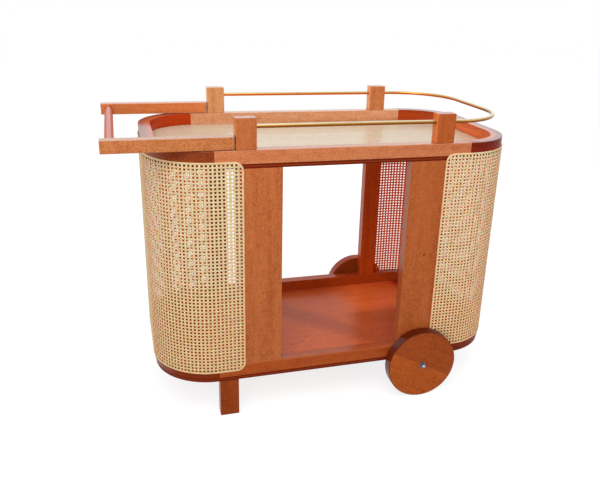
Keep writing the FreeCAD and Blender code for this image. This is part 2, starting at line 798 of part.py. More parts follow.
leg_dowels = []
for depth in ("front", "back"):
    name = f"{depth}_leg"

    def below_deck(edge, top=number("places.lower_deck_bottom")):
        """Every edge but the four that meet the deck board."""
        return not same(edge.BoundBox.ZMin, top)

    blanks[name] = plank(
        name + "_blank",
        ("sizes.leg_width", "sizes.leg_depth", "places.lower_deck_bottom"),
        ("-places.leg_outer", low_edge(side_sign(depth), "places.face", "sizes.leg_depth"), "0"),
        "sizes.leg_edge",
        below_deck,
    )
    for step in (-1, 1):
        leg_dowels.append(
            dowel(
                f"{name}_{'left' if step < 0 else 'right'}_dowel",
                "sizes.dowel_diameter",
                "sizes.dowel_in_post + sizes.deck_thickness + sizes.leg_dowel_in_rim",
                (
                    f"sizes.leg_width / 2 - places.leg_outer + {step} * sizes.leg_dowel_spacing / 2",
                    f"{side_sign(depth)} * places.leg_line",
                    "places.lower_deck_bottom - sizes.dowel_in_post",
                ),
                "Z",
                (name, "lower_deck", f"lower_{depth}_rail"),
            )
        )
group("leg_dowels", leg_dowels)

# ---- axle and its beam ------------------------------------------------------------------------

main_bar = rod(
    "axle_bar",
    "sizes.axle_diameter",
    "2 * places.axle_shoulder",
    ("places.wheel_middle", "-places.axle_shoulder", "places.axle_height"),
    "Y",
)
axle_reach = "(places.axle_shoulder + sizes.washer_thickness + sizes.nut_thread_depth - sizes.nut_fit)"
turned_ends = rod(
    "axle_turned_ends",
    "sizes.axle_end_diameter",
    f"2 * {axle_reach}",
    ("places.wheel_middle", f"-{axle_reach}", "places.axle_height"),
    "Y",
)
axle = doc.addObject("Part::Fuse", "axle")
axle.Base = main_bar
axle.Tool = turned_ends
nodes.append(axle)

blanks["axle_beam"] = plank(
    "axle_beam_blank",
    ("sizes.beam_width", "2 * places.beam_reach", "sizes.beam_height"),
    ("places.wheel_middle - sizes.beam_width / 2", "-places.beam_reach", "places.beam_bottom"),
    "sizes.beam_edge",
    lambda edge: along("Y")(edge) and edge.BoundBox.ZMin < number("sizes.beam_height") / 2,
)
groove_floor = rod(
    "axle_groove_floor",
    "sizes.axle_diameter + 2 * sizes.axle_fit",
    "2 * places.beam_reach",
    ("places.wheel_middle", "-places.beam_reach", "places.axle_height"),
    "Y",
)
groove_mouth = doc.addObject("Part::Box", "axle_groove_mouth")
bind(
    groove_mouth,
    Length="sizes.axle_diameter + 2 * sizes.axle_fit",
    Width="2 * places.beam_reach",
    Height="sizes.axle_diameter / 2 + sizes.axle_cover",
)
place(
    groove_mouth,
    "places.wheel_middle - sizes.axle_diameter / 2 - sizes.axle_fit",
    "-places.beam_reach",
    "places.axle_height",
)
groove = doc.addObject("Part::Fuse", "axle_groove")
groove.Base = groove_floor
groove.Tool = groove_mouth
holes["axle_beam"] = [groove]

# ---- wheels, bushes, spacers, washers and dome nuts ---------------------------------------------

for depth in ("front", "back"):
    sign = side_sign(depth)

    def low_y(inner_face, length, sign=sign):
        """A piece's lowest y, from its face next to the trolley and its length."""
        return f"{inner_face}" if sign > 0 else f"-({inner_face} + {length})"

    middle = "places.wheel_middle"
    height = "places.axle_height"
    wheel, wheel_pad = ring(
        f"{depth}_wheel",
        "sizes.wheel_diameter",
        "places.bush_outer + 2 * sizes.bush_fit",
        "sizes.wheel_thickness",
        middle,
        low_y("places.wheel_inner_face", "sizes.wheel_thickness"),
        height,
    )

    def tread_edge(edge, radius=number("sizes.wheel_diameter / 2")):
        """The two outer edges of the disc."""
        return isinstance(edge.Curve, Part.Circle) and same(edge.Curve.Radius, radius)

    round_over(wheel, wheel_pad, tread_edge, "sizes.wheel_edge")
    bush, _ = ring(
        f"{depth}_bush",
        "places.bush_outer",
        "sizes.axle_diameter + 2 * sizes.axle_clearance",
        "sizes.wheel_thickness",
        middle,
        low_y("places.wheel_inner_face", "sizes.wheel_thickness"),
        height,
    )
    spacer_length = "(places.wheel_inner_face - places.beam_reach - sizes.side_clearance)"
    spacer, _ = ring(
        f"{depth}_spacer",
        "sizes.axle_diameter + 2 * sizes.axle_fit + 2 * sizes.spacer_wall",
        "sizes.axle_diameter + 2 * sizes.axle_fit",
        spacer_length,
        middle,
        low_y("places.beam_reach", spacer_length),
        height,
    )
    washer, _ = ring(
        f"{depth}_washer",
        "sizes.washer_diameter",
        "sizes.axle_end_diameter + 2 * sizes.nut_fit",
        "sizes.washer_thickness",
        middle,
        low_y("places.axle_shoulder", "sizes.washer_thickness"),
        height,
    )
    nodes.extend([wheel, bush, spacer, washer])

    nut_face = "(places.axle_shoulder + sizes.washer_thickness)"
    hexagon = doc.addObject("Part::Prism", f"{depth}_nut_hexagon")
    hexagon.Polygon = 6
    bind(hexagon, Circumradius="sizes.nut_flats / sqrt(3)", Height="sizes.nut_hex_height")
    hexagon.Placement.Rotation = TURNS["Y"]
    place(hexagon, middle, low_y(nut_face, "sizes.nut_hex_height"), height)
    dome = doc.addObject("Part::Sphere", f"{depth}_nut_dome")
    bind(dome, Radius="sizes.nut_dome_radius")
    place(dome, middle, f"{sign} * ({nut_face} + sizes.nut_hex_height)", height)
    nut_body = doc.addObject("Part::Fuse", f"{depth}_nut_body")
    nut_body.Base = hexagon
    nut_body.Tool = dome
    blanks[f"{depth}_dome_nut"] = nut_body
    holes[f"{depth}_dome_nut"] = [
        rod(
            f"{depth}_nut_thread",
            "sizes.axle_end_diameter + 2 * sizes.nut_fit",
            "sizes.nut_thread_depth",
            (middle, low_y(nut_face, "sizes.nut_thread_depth"), height),
            "Y",
        )
    ]

# ---- screws ---------------------------------------------------------------------------------------

for tray in ("upper", "lower"):
    deck_screws = []
    head_z = f"places.{tray}_deck_bottom"
    for x_sign in (-1, 1):
        for y_sign in (-1, 1):
            corner = f"{'left' if x_sign < 0 else 'right'}_{'front' if y_sign < 0 else 'back'}"
            deck_screws.append(
                wood_screw(
                    f"{tray}_rail_screw_{corner}",
                    "sizes.deck_screw_length",
                    f"{x_sign} * sizes.rail_screw_offset",
                    f"{y_sign} * places.rim_line",
                    head_z,
                    (f"{tray}_deck", f"{tray}_{'front' if y_sign < 0 else 'back'}_rail"),
                )
            )
            deck_screws.append(
                wood_screw(
                    f"{tray}_end_screw_{corner}",
                    "sizes.deck_screw_length",
                    f"{x_sign} * places.rim_end_line",
                    f"{y_sign} * sizes.end_screw_offset",
                    head_z,
                    (f"{tray}_deck", f"{tray}_{'left' if x_sign < 0 else 'right'}_end"),
                )
            )
    group(f"{tray}_deck_screws", deck_screws)

beam_screws = []
for x_sign in (-1, 1):
    for y_sign in (-1, 1):
        beam_screws.append(
            wood_screw(
                f"beam_screw_{'left' if x_sign < 0 else 'right'}_{'front' if y_sign < 0 else 'back'}",
                "sizes.beam_screw_length",
                f"places.wheel_middle + {x_sign} * sizes.beam_screw_offset",
                f"{y_sign} * sizes.beam_screw_reach",
                "places.beam_bottom",
                ("axle_beam", "lower_deck"),
            )
        )
group("beam_screws", beam_screws)

# ---- drilling: every blank gets the holes of what joins it ---------------------------------------------

for name, blank in blanks.items():
    drill = doc.addObject("Part::Compound", name + "_drill")
    drill.Links = holes[name]
    piece = doc.addObject("Part::Cut", name)
    piece.Base = blank
    piece.Tool = drill
    nodes.append(piece)

# ---- check and write ----------------------------------------------------------------------------------

doc.recompute()
for thing in doc.Objects:
    if {"Invalid", "Error"} & set(thing.State):
        raise RuntimeError(f"{thing.Name} didn't compute: {thing.State}")
for piece in nodes:
    if piece.Shape.isNull() or not piece.Shape.isValid() or not piece.Shape.Solids:
        raise RuntimeError(f"{piece.Label} has no valid solid")

os.makedirs("parts", exist_ok=True)
for piece in sorted(nodes, key=lambda node: node.Label):
    piece.Shape.exportStep(f"parts/{piece.Label}.step")
    print(f"{piece.Label}: {len(piece.Shape.Solids)} solids, {piece.Shape.Volume / 1000:.1f} cm3")
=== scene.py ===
import math
import bpy
from mathutils import Matrix, Vector


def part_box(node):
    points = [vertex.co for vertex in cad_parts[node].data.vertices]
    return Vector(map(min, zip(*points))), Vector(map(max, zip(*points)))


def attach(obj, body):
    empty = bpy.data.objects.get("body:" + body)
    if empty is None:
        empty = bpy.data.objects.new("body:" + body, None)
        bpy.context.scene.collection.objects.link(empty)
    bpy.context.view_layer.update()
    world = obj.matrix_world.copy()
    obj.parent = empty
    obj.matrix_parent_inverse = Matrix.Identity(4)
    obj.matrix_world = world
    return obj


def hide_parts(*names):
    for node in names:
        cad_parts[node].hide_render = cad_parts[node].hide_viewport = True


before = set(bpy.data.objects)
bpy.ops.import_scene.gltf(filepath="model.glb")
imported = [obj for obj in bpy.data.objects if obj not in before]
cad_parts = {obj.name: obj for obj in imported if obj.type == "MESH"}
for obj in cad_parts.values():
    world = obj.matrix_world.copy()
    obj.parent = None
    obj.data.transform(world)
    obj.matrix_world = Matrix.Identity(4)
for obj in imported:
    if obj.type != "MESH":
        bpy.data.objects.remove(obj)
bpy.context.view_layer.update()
scene = bpy.context.scene
scene.view_settings.view_transform = "Standard"

# ---- camera --------------------------------------------------------------------------------
# It stands in front of the handle's end at chest height, looks down at the trolley and is
# turned a little on its own axis. The lens is a 40 mm one on a 36 mm frame.

camera = bpy.data.objects.new("camera", bpy.data.cameras.new("camera"))
scene.collection.objects.link(camera)
scene.camera = camera
camera.data.lens = 40.23
camera.data.shift_x = -0.03997
camera.data.shift_y = -0.00654
yaw, pitch, roll = 0.306, 0.368, -0.036
level = math.cos(pitch)
forward = Vector((math.sin(yaw) * level, math.cos(yaw) * level, -math.sin(pitch)))
right = Matrix.Rotation(roll, 3, forward) @ Vector((math.cos(yaw), -math.sin(yaw), 0))
camera.matrix_world = Matrix((right, right.cross(forward), -forward)).transposed().to_4x4()
camera.location = (-0.491466, -1.776574, 1.079306)

# ---- studio --------------------------------------------------------------------------------
# A white floor that runs on to a white surround; the camera and the gloss see both as plain
# white. Four soft lamps stand above, in front and at the sides. One behind shines through
# the cane, and glossy surfaces don't reflect it.


class Socket:
    """A node's output, on which Python's operators add Math nodes."""

    def __init__(self, tree, output):
        self.tree, self.output = tree, output

    def __add__(self, other):
        return self.tree.math("ADD", self, other)

    def __radd__(self, other):
        return self.tree.math("ADD", other, self)

    def __sub__(self, other):
        return self.tree.math("SUBTRACT", self, other)

    def __rsub__(self, other):
        return self.tree.math("SUBTRACT", other, self)

    def __mul__(self, other):
        return self.tree.math("MULTIPLY", self, other)

    def __rmul__(self, other):
        return self.tree.math("MULTIPLY", other, self)

    def __abs__(self):
        return self.tree.math("ABSOLUTE", self)

    def least(self, other):
        return self.tree.math("MINIMUM", self, other)

    def most(self, other):
        return self.tree.math("MAXIMUM", self, other)

    def between(self, start, end):
        """0 at start, 1 at end and smooth in between; start may be the greater."""
        limits = {"Value": self, "From Min": start, "From Max": end}
        return self.tree.node("MapRange", {"interpolation_type": "SMOOTHSTEP"}, limits)


class Tree:
    """The nodes of a material or of the world."""

    def __init__(self, owner):
        owner.use_nodes = True
        self.nodes, self.links = owner.node_tree.nodes, owner.node_tree.links

    def feed(self, socket, value):
        """Link a socket to a node's output, or set the number, vector or colour on it."""
        if isinstance(value, Socket):
            self.links.new(value.output, socket)
        elif socket.type == "RGBA":
            socket.default_value = (*value, 1)
        else:
            socket.default_value = value

    def node(self, kind, settings=None, sockets=(), output=0):
        """A node of that kind: its settings first, then its sockets by name or in order."""
        made = self.nodes.new("ShaderNode" + kind)
        for name, value in (settings or {}).items():
            setattr(made, name, value)
        for name, value in sockets.items() if isinstance(sockets, dict) else enumerate(sockets):
            self.feed(made.inputs[name], value)
        return Socket(self, made.outputs[output]) if made.outputs else None

    def math(self, operation, *values):
        return self.node("Math", {"operation": operation}, values)

    def mix(self, share, first, second, blend="MIX"):
        """A colour between two, or the second blended on to the first."""
        settings = {"data_type": "RGBA", "blend_type": blend}
        return self.node("Mix", settings, {0: share, 6: first, 7: second}, output=2)

    def ray(self, kind):
        return self.node("LightPath", output=f"Is {kind} Ray")

    def seen(self):
        """1 for what the camera, a reflection or clear glass shows, 0 for light on surfaces."""
        return self.ray("Camera").most(self.ray("Glossy")).most(self.ray("Transmission"))


SURROUND_LIGHT, FLOOR_LIGHT = 0.66, 0.8
surround = bpy.data.worlds.new("surround")
scene.world = surround
air = Tree(surround)
seen = air.seen()
air.feed(air.nodes["Background"].inputs["Color"], (1.0, 1.0, 1.0))
air.feed(air.nodes["Background"].inputs["Strength"], SURROUND_LIGHT * (1 - seen) + seen)

reach = 14
corners = [(-reach, -reach, 0), (reach, -reach, 0), (reach, reach, 0), (-reach, reach, 0)]
floor = bpy.data.objects.new("floor", bpy.data.meshes.new("floor"))
floor.data.from_pydata(corners, [], [(0, 1, 2, 3)])
scene.collection.objects.link(floor)
floor.data.materials.append(bpy.data.materials.new("floor_paper"))
paper = Tree(floor.active_material)
paper.nodes.clear()
dull = paper.node("BsdfDiffuse", sockets={"Color": (0.45, 0.45, 0.45)})
shaded = paper.node("BsdfDiffuse", sockets={"Color": (0.30, 0.30, 0.30)})
white = paper.node("Emission", sockets={"Color": (1.0, 1.0, 1.0), "Strength": FLOOR_LIGHT})
shaded_white = paper.node("AddShader", sockets=(shaded, white))
shown = paper.node("MixShader", sockets=(paper.seen(), dull, shaded_white))
paper.node("OutputMaterial", sockets=(shown,))

aim = Vector((0, 0, 0.45))
for name, place, size, power in (
    ("lamp_above", (-0.6, -1.75, 2.45), 1.8, 37),
    ("lamp_left", (-2.6, -1.4, 1.5), 1.6, 3),
    ("lamp_right", (2.3, -1.6, 1.4), 1.6, 6),
    ("lamp_front", (-1.6, -2.4, 0.70), 0.7, 15),
    ("lamp_behind", (0.6, 2.4, 1.0), 1.2, 14),
):
    lamp = bpy.data.objects.new(name, bpy.data.lights.new(name, "AREA"))
    scene.collection.objects.link(lamp)
    lamp.data.size = size
    lamp.data.energy = power
    lamp.location = place
    lamp.rotation_euler = (aim - lamp.location).to_track_quat("-Z", "Y").to_euler()
    lamp.visible_glossy = name != "lamp_behind"

# ---- straight rails of the two rims --------------------------------------------------------
# Solid timber, orange-brown stain under a satin lacquer, grain along the rail. They are glued
# on to the deck boards and dowelled to the bent ends. The stain is thinner along the edges.
# The upper back rail's paler stain is painted light, for light thrown back from the pale deck.


class Finish(Tree):
    """A material with one principled shader, and the patterns that more than one piece uses."""

    def __init__(self, name, **constants):
        self.material = bpy.data.materials.new(name)
        super().__init__(self.material)
        self.shader = self.nodes["Principled BSDF"]
        self.surface(**constants)

    def surface(self, **values):
        """Feed the shader's sockets, which are named here with underscores for spaces."""
        for socket, value in values.items():
            self.feed(self.shader.inputs[socket.replace("_", " ")], value)

    def split(self, vector):
        return [self.node("SeparateXYZ", sockets=(vector,), output=axis) for axis in "XYZ"]

    def place(self):
        """The three coordinates of a point, in metres, that stay with the piece."""
        return self.split(self.node("TexCoord", output="Object"))

    def vector(self, *values):
        return self.node("CombineXYZ", sockets=values)

    def noise(self, vector, detail=2.0, roughness=0.5):
        """Noise with a scale of one a unit, from 0 to 1."""
        sockets = {"Vector": vector, "Scale": 1.0, "Detail": detail, "Roughness": roughness}
        return self.node("TexNoise", None, sockets)

    def facing(self, axis):
        """How far the surface faces along an axis of the piece, from -1 to 1."""
        normal = self.node("TexCoord", output="Normal")
        return self.node("SeparateXYZ", sockets=(normal,), output=axis)

    def spot(self, centre, size):
        """1 in a small round mark and 0 around it."""
        places = (self.node("TexCoord", output="Object"), centre)
        far = self.node("VectorMath", {"operation": "DISTANCE"}, places, output="Value")
        return far.between(size, size * 0.4)

    def gloss(self, top):
        """How much lacquer shows: most on top, least on the front and back faces."""
        upright, ends = 0.04, abs(self.facing("X")).between(0.6, 0.95) * 0.35
        return upright + ends + self.facing("Z").between(0.3, 0.8) * (top - upright)

    def bump(self, height, distance):
        return self.node("Bump", None, {"Height": height, "Distance": distance, "Strength": 1.0})

    def dress(self, *nodes):
        for node in nodes:
            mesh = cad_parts[node].data
            mesh.materials.clear()
            mesh.materials.append(self.material)


def box_edges(finish, node, place, width):
    """1 at the edges of a straight piece and 0 from that width inwards."""
    low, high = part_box(node)
    near = [(at - low[i]).least(high[i] - at) for i, at in enumerate(place)]
    second = near[0].least(near[1]).most(near[0].most(near[1]).least(near[2]))
    return second.between(width, 0)


def timber(finish, along, first, second, seed, tones, edge=None, figure=1.0):
    """The colour of stained wood, with its roughness and relief set: bands, fibres, pores,
    a soft cross figure and flecks. Each has its own count of waves in a metre, along and
    across the grain."""
    dark, middle, light = tones
    bands = finish.noise(finish.vector(along * 1.6 + seed, first * 34, second * 34), 3, 0.6)
    fibre = finish.noise(finish.vector(along * 16, first * 520 + seed, second * 520), 3, 0.6)
    pores = finish.noise(finish.vector(along * 70, first * 1500 - seed, second * 1500), 1)
    pores = pores.between(0.66, 0.78)
    cross = finish.noise(finish.vector(along * 60 + seed, first * 90, second * 90), 2)
    fleck = finish.noise(finish.vector(along * 240, first * 430 + seed, second * 430), 1)
    shade = (bands - 0.5) * (1.1 * figure) + (fibre - 0.5) * 0.7
    shade = shade + (cross - 0.5) * 0.7 + (fleck - 0.5) * 1.9 + 0.5
    colour = finish.mix(shade.between(0.0, 0.5), dark, middle)
    colour = finish.mix(shade.between(0.5, 1.0), colour, light)
    colour = finish.mix(pores * 0.35, colour, dark)
    if edge is not None:
        colour = finish.mix(edge * (0.25 + fibre * 0.5), colour, light)
    finish.surface(
        Roughness=0.30 + fibre * 0.16,
        Normal=finish.bump(fibre * 0.6 + pores * -0.8 + cross * 0.5, 0.00012),
    )
    return colour


def stain(red, green, blue):
    """A stain's tones: where it soaked in, where it lies evenly and where it was rubbed off."""
    soaked = (red * 0.72, green * 0.60, blue * 0.50)
    rubbed = (red * 1.16, green * 1.34, blue * 1.60)
    return soaked, (red, green, blue), rubbed


LACQUER = {"Specular_IOR_Level": 0.05, "Coat_Roughness": 0.15, "Coat_IOR": 1.75}
WORN_EDGE = 0.0022
KNOT_BROWN, KNOT_SIZE = (0.05, 0.012, 0.003), 0.004


def plank(node, grain, seed, tones, figure=1.0, gloss=1.0, knots=(), tints=()):
    """The finish of a straight piece of timber with its grain along an axis.

    A tint lies on the faces that look one way along an axis, from none of it at the first
    place along an axis to all of it at the second."""
    finish = Finish(node + "_wood", **LACQUER)
    place = finish.place()
    along = place["XYZ".index(grain)]
    first, second = [at for at in place if at is not along]
    edges = box_edges(finish, node, place, WORN_EDGE)
    colour = timber(finish, along, first, second, seed, tones, edges, figure)
    for centre in knots:
        colour = finish.mix(finish.spot(centre, KNOT_SIZE) * 0.8, colour, KNOT_BROWN)
    for axis, way, (at, none, full), tint in tints:
        share = (finish.facing(axis) * way).between(0.6, 0.9)
        share = share * place["XYZ".index(at)].between(none, full)
        colour = finish.mix(share, colour, tint, "MULTIPLY")
    finish.surface(Base_Color=colour, Coat_Weight=finish.gloss(gloss))
    finish.dress(node)


rail_finishes = (
    ("upper_front_rail", stain(0.525, 0.164, 0.062), 1.0),
    # Painted light: the upper back rail's stain is paler than the front one's.
    ("upper_back_rail", stain(0.650, 0.286, 0.136), 1.0),
    ("lower_front_rail", stain(0.370, 0.068, 0.012), 0.4),
    ("lower_back_rail", stain(0.480, 0.070, 0.010), 0.4),
)
for number, (node, tones, gloss) in enumerate(rail_finishes):
    plank(node, "X", 3.7 + 5.1 * number, tones, gloss=gloss)

# ---- bent ends of the rims -----------------------------------------------------------------
# Bent from thin layers, so the grain and the glue lines follow the curve. The stain took
# darker and redder here than on the straight rails, most of all on the outer faces. The inner
# face's back corner of the upper right end is darker still from painted shade.

TRAY_MIDDLE = 0.04595  # the trays' middle is this far from the origin, towards the wheels
curve_start, straight_half, corner_radius, rim_width = 0.332, 0.107, 0.153, 0.032
SHADED_CORNER_TINT = (0.55, 0.36, 0.25)


def round_the_end(finish):
    """Places on a bent piece: along its curve, across it from the outline, and up."""
    x, y, z = finish.place()
    past_curve = abs(x - TRAY_MIDDLE) - curve_start
    past_corner = (abs(y) - straight_half).most(0.0)
    turned = finish.math("ARCTAN2", past_corner, past_curve.most(0.0))
    along = turned * corner_radius + abs(y).least(straight_half) + past_curve.least(0.0)
    squared = past_corner * past_corner + past_curve.most(0.0) * past_curve.most(0.0)
    inwards = corner_radius - finish.math("SQRT", squared)
    return along, inwards, z


end_finishes = (
    ("upper_left_end", stain(0.230, 0.038, 0.0066), stain(0.466, 0.041, 0.0033), 1.6),
    ("upper_right_end", stain(0.195, 0.012, 0.0006), stain(0.720, 0.128, 0.0220), 2.6),
    ("lower_left_end", stain(0.200, 0.024, 0.0030), stain(0.425, 0.058, 0.0100), 1.6),
    ("lower_right_end", stain(0.200, 0.017, 0.0020), stain(0.425, 0.058, 0.0100), 1.6),
)
for number, (node, outer_tones, inner_tones, figure) in enumerate(end_finishes):
    finish = Finish(node + "_wood", **LACQUER)
    along, inwards, height = round_the_end(finish)
    low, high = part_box(node)
    upright = (height - low.z).least(high.z - height)
    across = inwards.least(rim_width - inwards)
    worn = upright.most(across).between(WORN_EDGE, 0)
    inner = inwards.between(0.010, 0.022)
    tones = [finish.mix(inner, *pair) for pair in zip(outer_tones, inner_tones)]
    # Painted shade in the back corner of the upper right end's inner face.
    if node == "upper_right_end":
        painted_corner_shade = inner * finish.place()[1].between(0.13, 0.19)
        tones = [finish.mix(painted_corner_shade, tone, SHADED_CORNER_TINT, "MULTIPLY") for tone in tones]
    seed = 21.3 + 4.3 * number
    colour = timber(finish, along, inwards, height, seed, tones, worn, figure)
    finish.surface(Base_Color=colour, Coat_Weight=finish.gloss(1.0))
    finish.dress(node)

# ---- deck boards ---------------------------------------------------------------------------
# Veneered boards with a dark lipping, glued and screwed under the rims. The upper one is a
# pale golden veneer. The lower one is stained red, with painted light and shade on it: a band
# of painted shade crosses it, its left part is darker from painted shade, its back right is
# painted paler as painted light, and both ends behind the cane are dark with painted shade.

GOLDEN_VENEER = (0.60, 0.440, 0.280), (0.71, 0.585, 0.420), (0.78, 0.690, 0.550)
RED_VENEER = (0.55, 0.092, 0.020), (0.64, 0.122, 0.029), (0.72, 0.160, 0.040)
LIPPING = (0.130, 0.010, 0.0010)
MIDDLE_PLY = (0.22, 0.028, 0.004)
SHADED_BAND_TINT, LEFT_SHADE_TINT = (0.74, 0.70, 0.74), (0.88, 0.80, 0.90)
PAINTED_LIGHT_TINT, CANE_SHADE_TINT = (1.55, 1.62, 1.42), (0.50, 0.05, 0.04)
deck_mark = (-0.057, -0.130)

for node, tones, seed, gloss in (
    ("upper_deck", GOLDEN_VENEER, 41.0, 0.65),
    ("lower_deck", RED_VENEER, 47.5, 0.40),
):
    finish = Finish(node + "_veneer", Specular_IOR_Level=0.05, Coat_Roughness=0.25, Coat_IOR=1.5)
    x, y, z = finish.place()
    low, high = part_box(node)
    colour = timber(finish, x, y, z, seed, tones, figure=0.8)
    # Painted light and shade: a shaded band, a shaded left, a lit back right, shaded ends.
    if node == "lower_deck":
        cane_streak_and_deck_shade = abs((x - 0.08) * 0.72 + (y + 0.03) * 0.70).between(0.065, 0.01)
        cane_streak_and_deck_shade = cane_streak_and_deck_shade.most(x.between(0.12, 0.20) * y.between(0.05, 0.0) * 0.8)
        for share, tint in (
            (cane_streak_and_deck_shade, SHADED_BAND_TINT),
            (x.between(0.0, -0.15), LEFT_SHADE_TINT),
            (x.between(0.12, 0.26) * y.between(-0.03, 0.08), PAINTED_LIGHT_TINT),
            (abs(x - TRAY_MIDDLE).between(0.33, 0.37), CANE_SHADE_TINT),
        ):
            colour = finish.mix(share, colour, tint, "MULTIPLY")
        colour = finish.mix(finish.spot((*deck_mark, high.z), KNOT_SIZE), colour, KNOT_BROWN)
    ply = abs(z - (low.z + high.z) / 2).between(0.0022, 0.0012)
    side = abs(finish.facing("Z")).between(0.7, 0.5)
    upright = 0.03
    finish.surface(
        Base_Color=finish.mix(side, colour, finish.mix(ply, LIPPING, MIDDLE_PLY)),
        Coat_Weight=upright + finish.facing("Z").between(0.3, 0.8) * (gloss - upright),
    )
    finish.dress(node)

# ---- posts ---------------------------------------------------------------------------------
# Flat uprights between the trays, wide in front and narrow behind, grain upright. They stand
# on the lower rim and are dowelled into both trays. Where the cane covers them the faces are
# darker and redder from painted shade, and the back left post has that painted shade on its
# whole inner face.

under_left_cane, under_right_cane = ("X", -0.218, -0.220), ("X", 0.310, 0.312)
whole_face = ("Z", 1.0, 0.9)
RED_SHADE, DEEP_SHADE, DARK_SHADE = (1.00, 0.25, 0.15), (0.75, 0.10, 0.05), (0.45, 0.03, 0.02)
post_finishes = (
    ("front_left_post", stain(0.440, 0.118, 0.033), (-1, under_left_cane, RED_SHADE), []),
    ("front_right_post", stain(0.400, 0.094, 0.022), (-1, under_right_cane, DEEP_SHADE),
     [(0.270, -0.260, 0.418)]),
    ("back_left_post", stain(0.420, 0.062, 0.009), (-1, whole_face, DARK_SHADE), []),
    ("back_right_post", stain(0.560, 0.080, 0.009), (1, under_right_cane, DEEP_SHADE), []),
)
for number, (node, tones, shade, knots) in enumerate(post_finishes):
    tints = [("Y", *shade)]
    plank(node, "Z", 60.2 + 6.3 * number, tones, figure=1.3, knots=knots, tints=tints)

# ---- cane panels ---------------------------------------------------------------------------
# Flat strands of cane in a plain weave with square holes, bent round each end and glued to
# the rims and the front and back faces of the posts. A plain strip of cane covers the cut
# ends.

panel_low, panel_high, panel_radius = 0.133, 0.694, 0.1546
leg_run, corner_run, end_run = 0.070, math.pi / 2 * panel_radius, 0.214
whole_run = 2 * leg_run + 2 * corner_run + end_run
border_width, border_thickness, corner_round = 0.005, 0.0026, 0.022
first_hole, hole = 0.0078, 0.0045
columns, rows = 83, 60
column_pitch = (whole_run - 2 * first_hole) / (columns - 1)
row_pitch = (panel_high - panel_low - 2 * first_hole) / (rows - 1)


def on_panel(side, run, out, height):
    """A point of a panel: its run from a free edge, its distance out of the sheet's middle."""
    folded = min(run, whole_run - run)
    radius = panel_radius + out
    if folded < leg_run:
        x, y = curve_start - leg_run + folded, -straight_half - radius
    elif folded < leg_run + corner_run:
        turn = (folded - leg_run) / panel_radius
        x, y = curve_start + radius * math.sin(turn), -straight_half - radius * math.cos(turn)
    else:
        x, y = curve_start + radius, folded - whole_run / 2
    if run > whole_run / 2:
        y = -y
    return (TRAY_MIDDLE + side * x, side * y, height)


def sweep(points, faces, facts, sections, closed=False):
    """Join sections of one strand, each a list of points with the facts of each point."""
    start, count = len(points), len(sections[0])
    for section in sections:
        for point, fact in section:
            points.append(point)
            facts.append(fact)
    steps = len(sections) if closed else len(sections) - 1
    for step in range(steps):
        here, there = start + step * count, start + (step + 1) % len(sections) * count
        for k in range(count):
            after = (k + 1) % count
            faces.append((here + k, here + after, there + after, there + k))
    if not closed:
        faces.append(tuple(range(start + count - 1, start - 1, -1)))
        last = start + (len(sections) - 1) * count
        faces.append(tuple(range(last, last + count)))


def strand_section(width, thickness):
    """A flat strand's section, crowned outside: across, out and 1 for the inner face."""
    half, deep = width / 2, thickness / 2
    crown, shoulder = 0.56 * half, 0.15 * deep
    outer = [(half, shoulder, 0.5), (crown, deep, 0), (-crown, deep, 0), (-half, shoulder, 0.5)]
    return [(-half, -deep, 1), (half, -deep, 1)] + outer


def cut_back(distance):
    """How far a rounded corner cuts back a strand at that distance from the edge beside it."""
    if distance >= corner_round:
        return 0.0
    return corner_round - math.sqrt(corner_round**2 - (corner_round - distance) ** 2)


def crossings(count, pitch):
    """The middles of the strands between that many holes."""
    return [first_hole + (k + 0.5) * pitch for k in range(count - 1)]


def panel_piece(name, side, points, faces, facts, finish):
    """A mesh piece of a cane panel, with the place of each point in the weave kept on it."""
    mesh = bpy.data.meshes.new(name)
    mesh.from_pydata(points, [], faces)
    kept = mesh.attributes.new("weave", "FLOAT_VECTOR", "POINT")
    kept.data.foreach_set("vector", [value for fact in facts for value in fact])
    mesh.polygons.foreach_set("use_smooth", [True] * len(mesh.polygons))
    mesh.materials.append(finish.material)
    piece = bpy.data.objects.new(name, mesh)
    scene.collection.objects.link(piece)
    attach(piece, "trolley")
    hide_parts(f"{side}_cane_panel")


STRAND_THICKNESS, WEAVE_SWING, FLAT_HALF = 0.0009, 0.00055, 0.0019
END_INSET, SHORTEST_STEP = 0.0015, 0.002
column_runs = crossings(columns, column_pitch)
row_heights = crossings(rows, row_pitch)


def weave_facts(run, height, inner):
    """Where a point is, counted in crossings along both ways, and 1 on the inner face."""
    column = (run - column_runs[0]) / column_pitch
    return column, (height - row_heights[0]) / row_pitch, inner


def strands(side, upright):
    """All upright strands of a panel, or all those that are woven through them."""
    points, faces, facts = [], [], []
    tall = panel_high - panel_low
    own, other = (column_runs, row_heights) if upright else (row_heights, column_runs)
    own_length, other_length = (whole_run, tall) if upright else (tall, whole_run)
    width = (column_pitch if upright else row_pitch) - hole
    section = strand_section(width, STRAND_THICKNESS)
    for i, middle in enumerate(own):
        end = cut_back(min(middle, own_length - middle)) + END_INSET
        stops = [(end, 0.0)]
        for j, crossing in enumerate(other):
            swing = WEAVE_SWING if (i + j + upright) % 2 else -WEAVE_SWING
            for stop in (crossing - FLAT_HALF, crossing + FLAT_HALF):
                if end + SHORTEST_STEP < stop < other_length - end - SHORTEST_STEP:
                    stops.append((stop, swing))
        stops.append((other_length - end, 0.0))
        sections = []
        for stop, swing in stops:
            ring = []
            for across, out, inner in section if upright else reversed(section):
                run, height = (middle + across, stop) if upright else (stop, middle + across)
                point = on_panel(side, run, out + swing, panel_low + height)
                ring.append((point, weave_facts(run, height, inner)))
            sections.append(ring)
        sweep(points, faces, facts, sections)
    return points, faces, facts


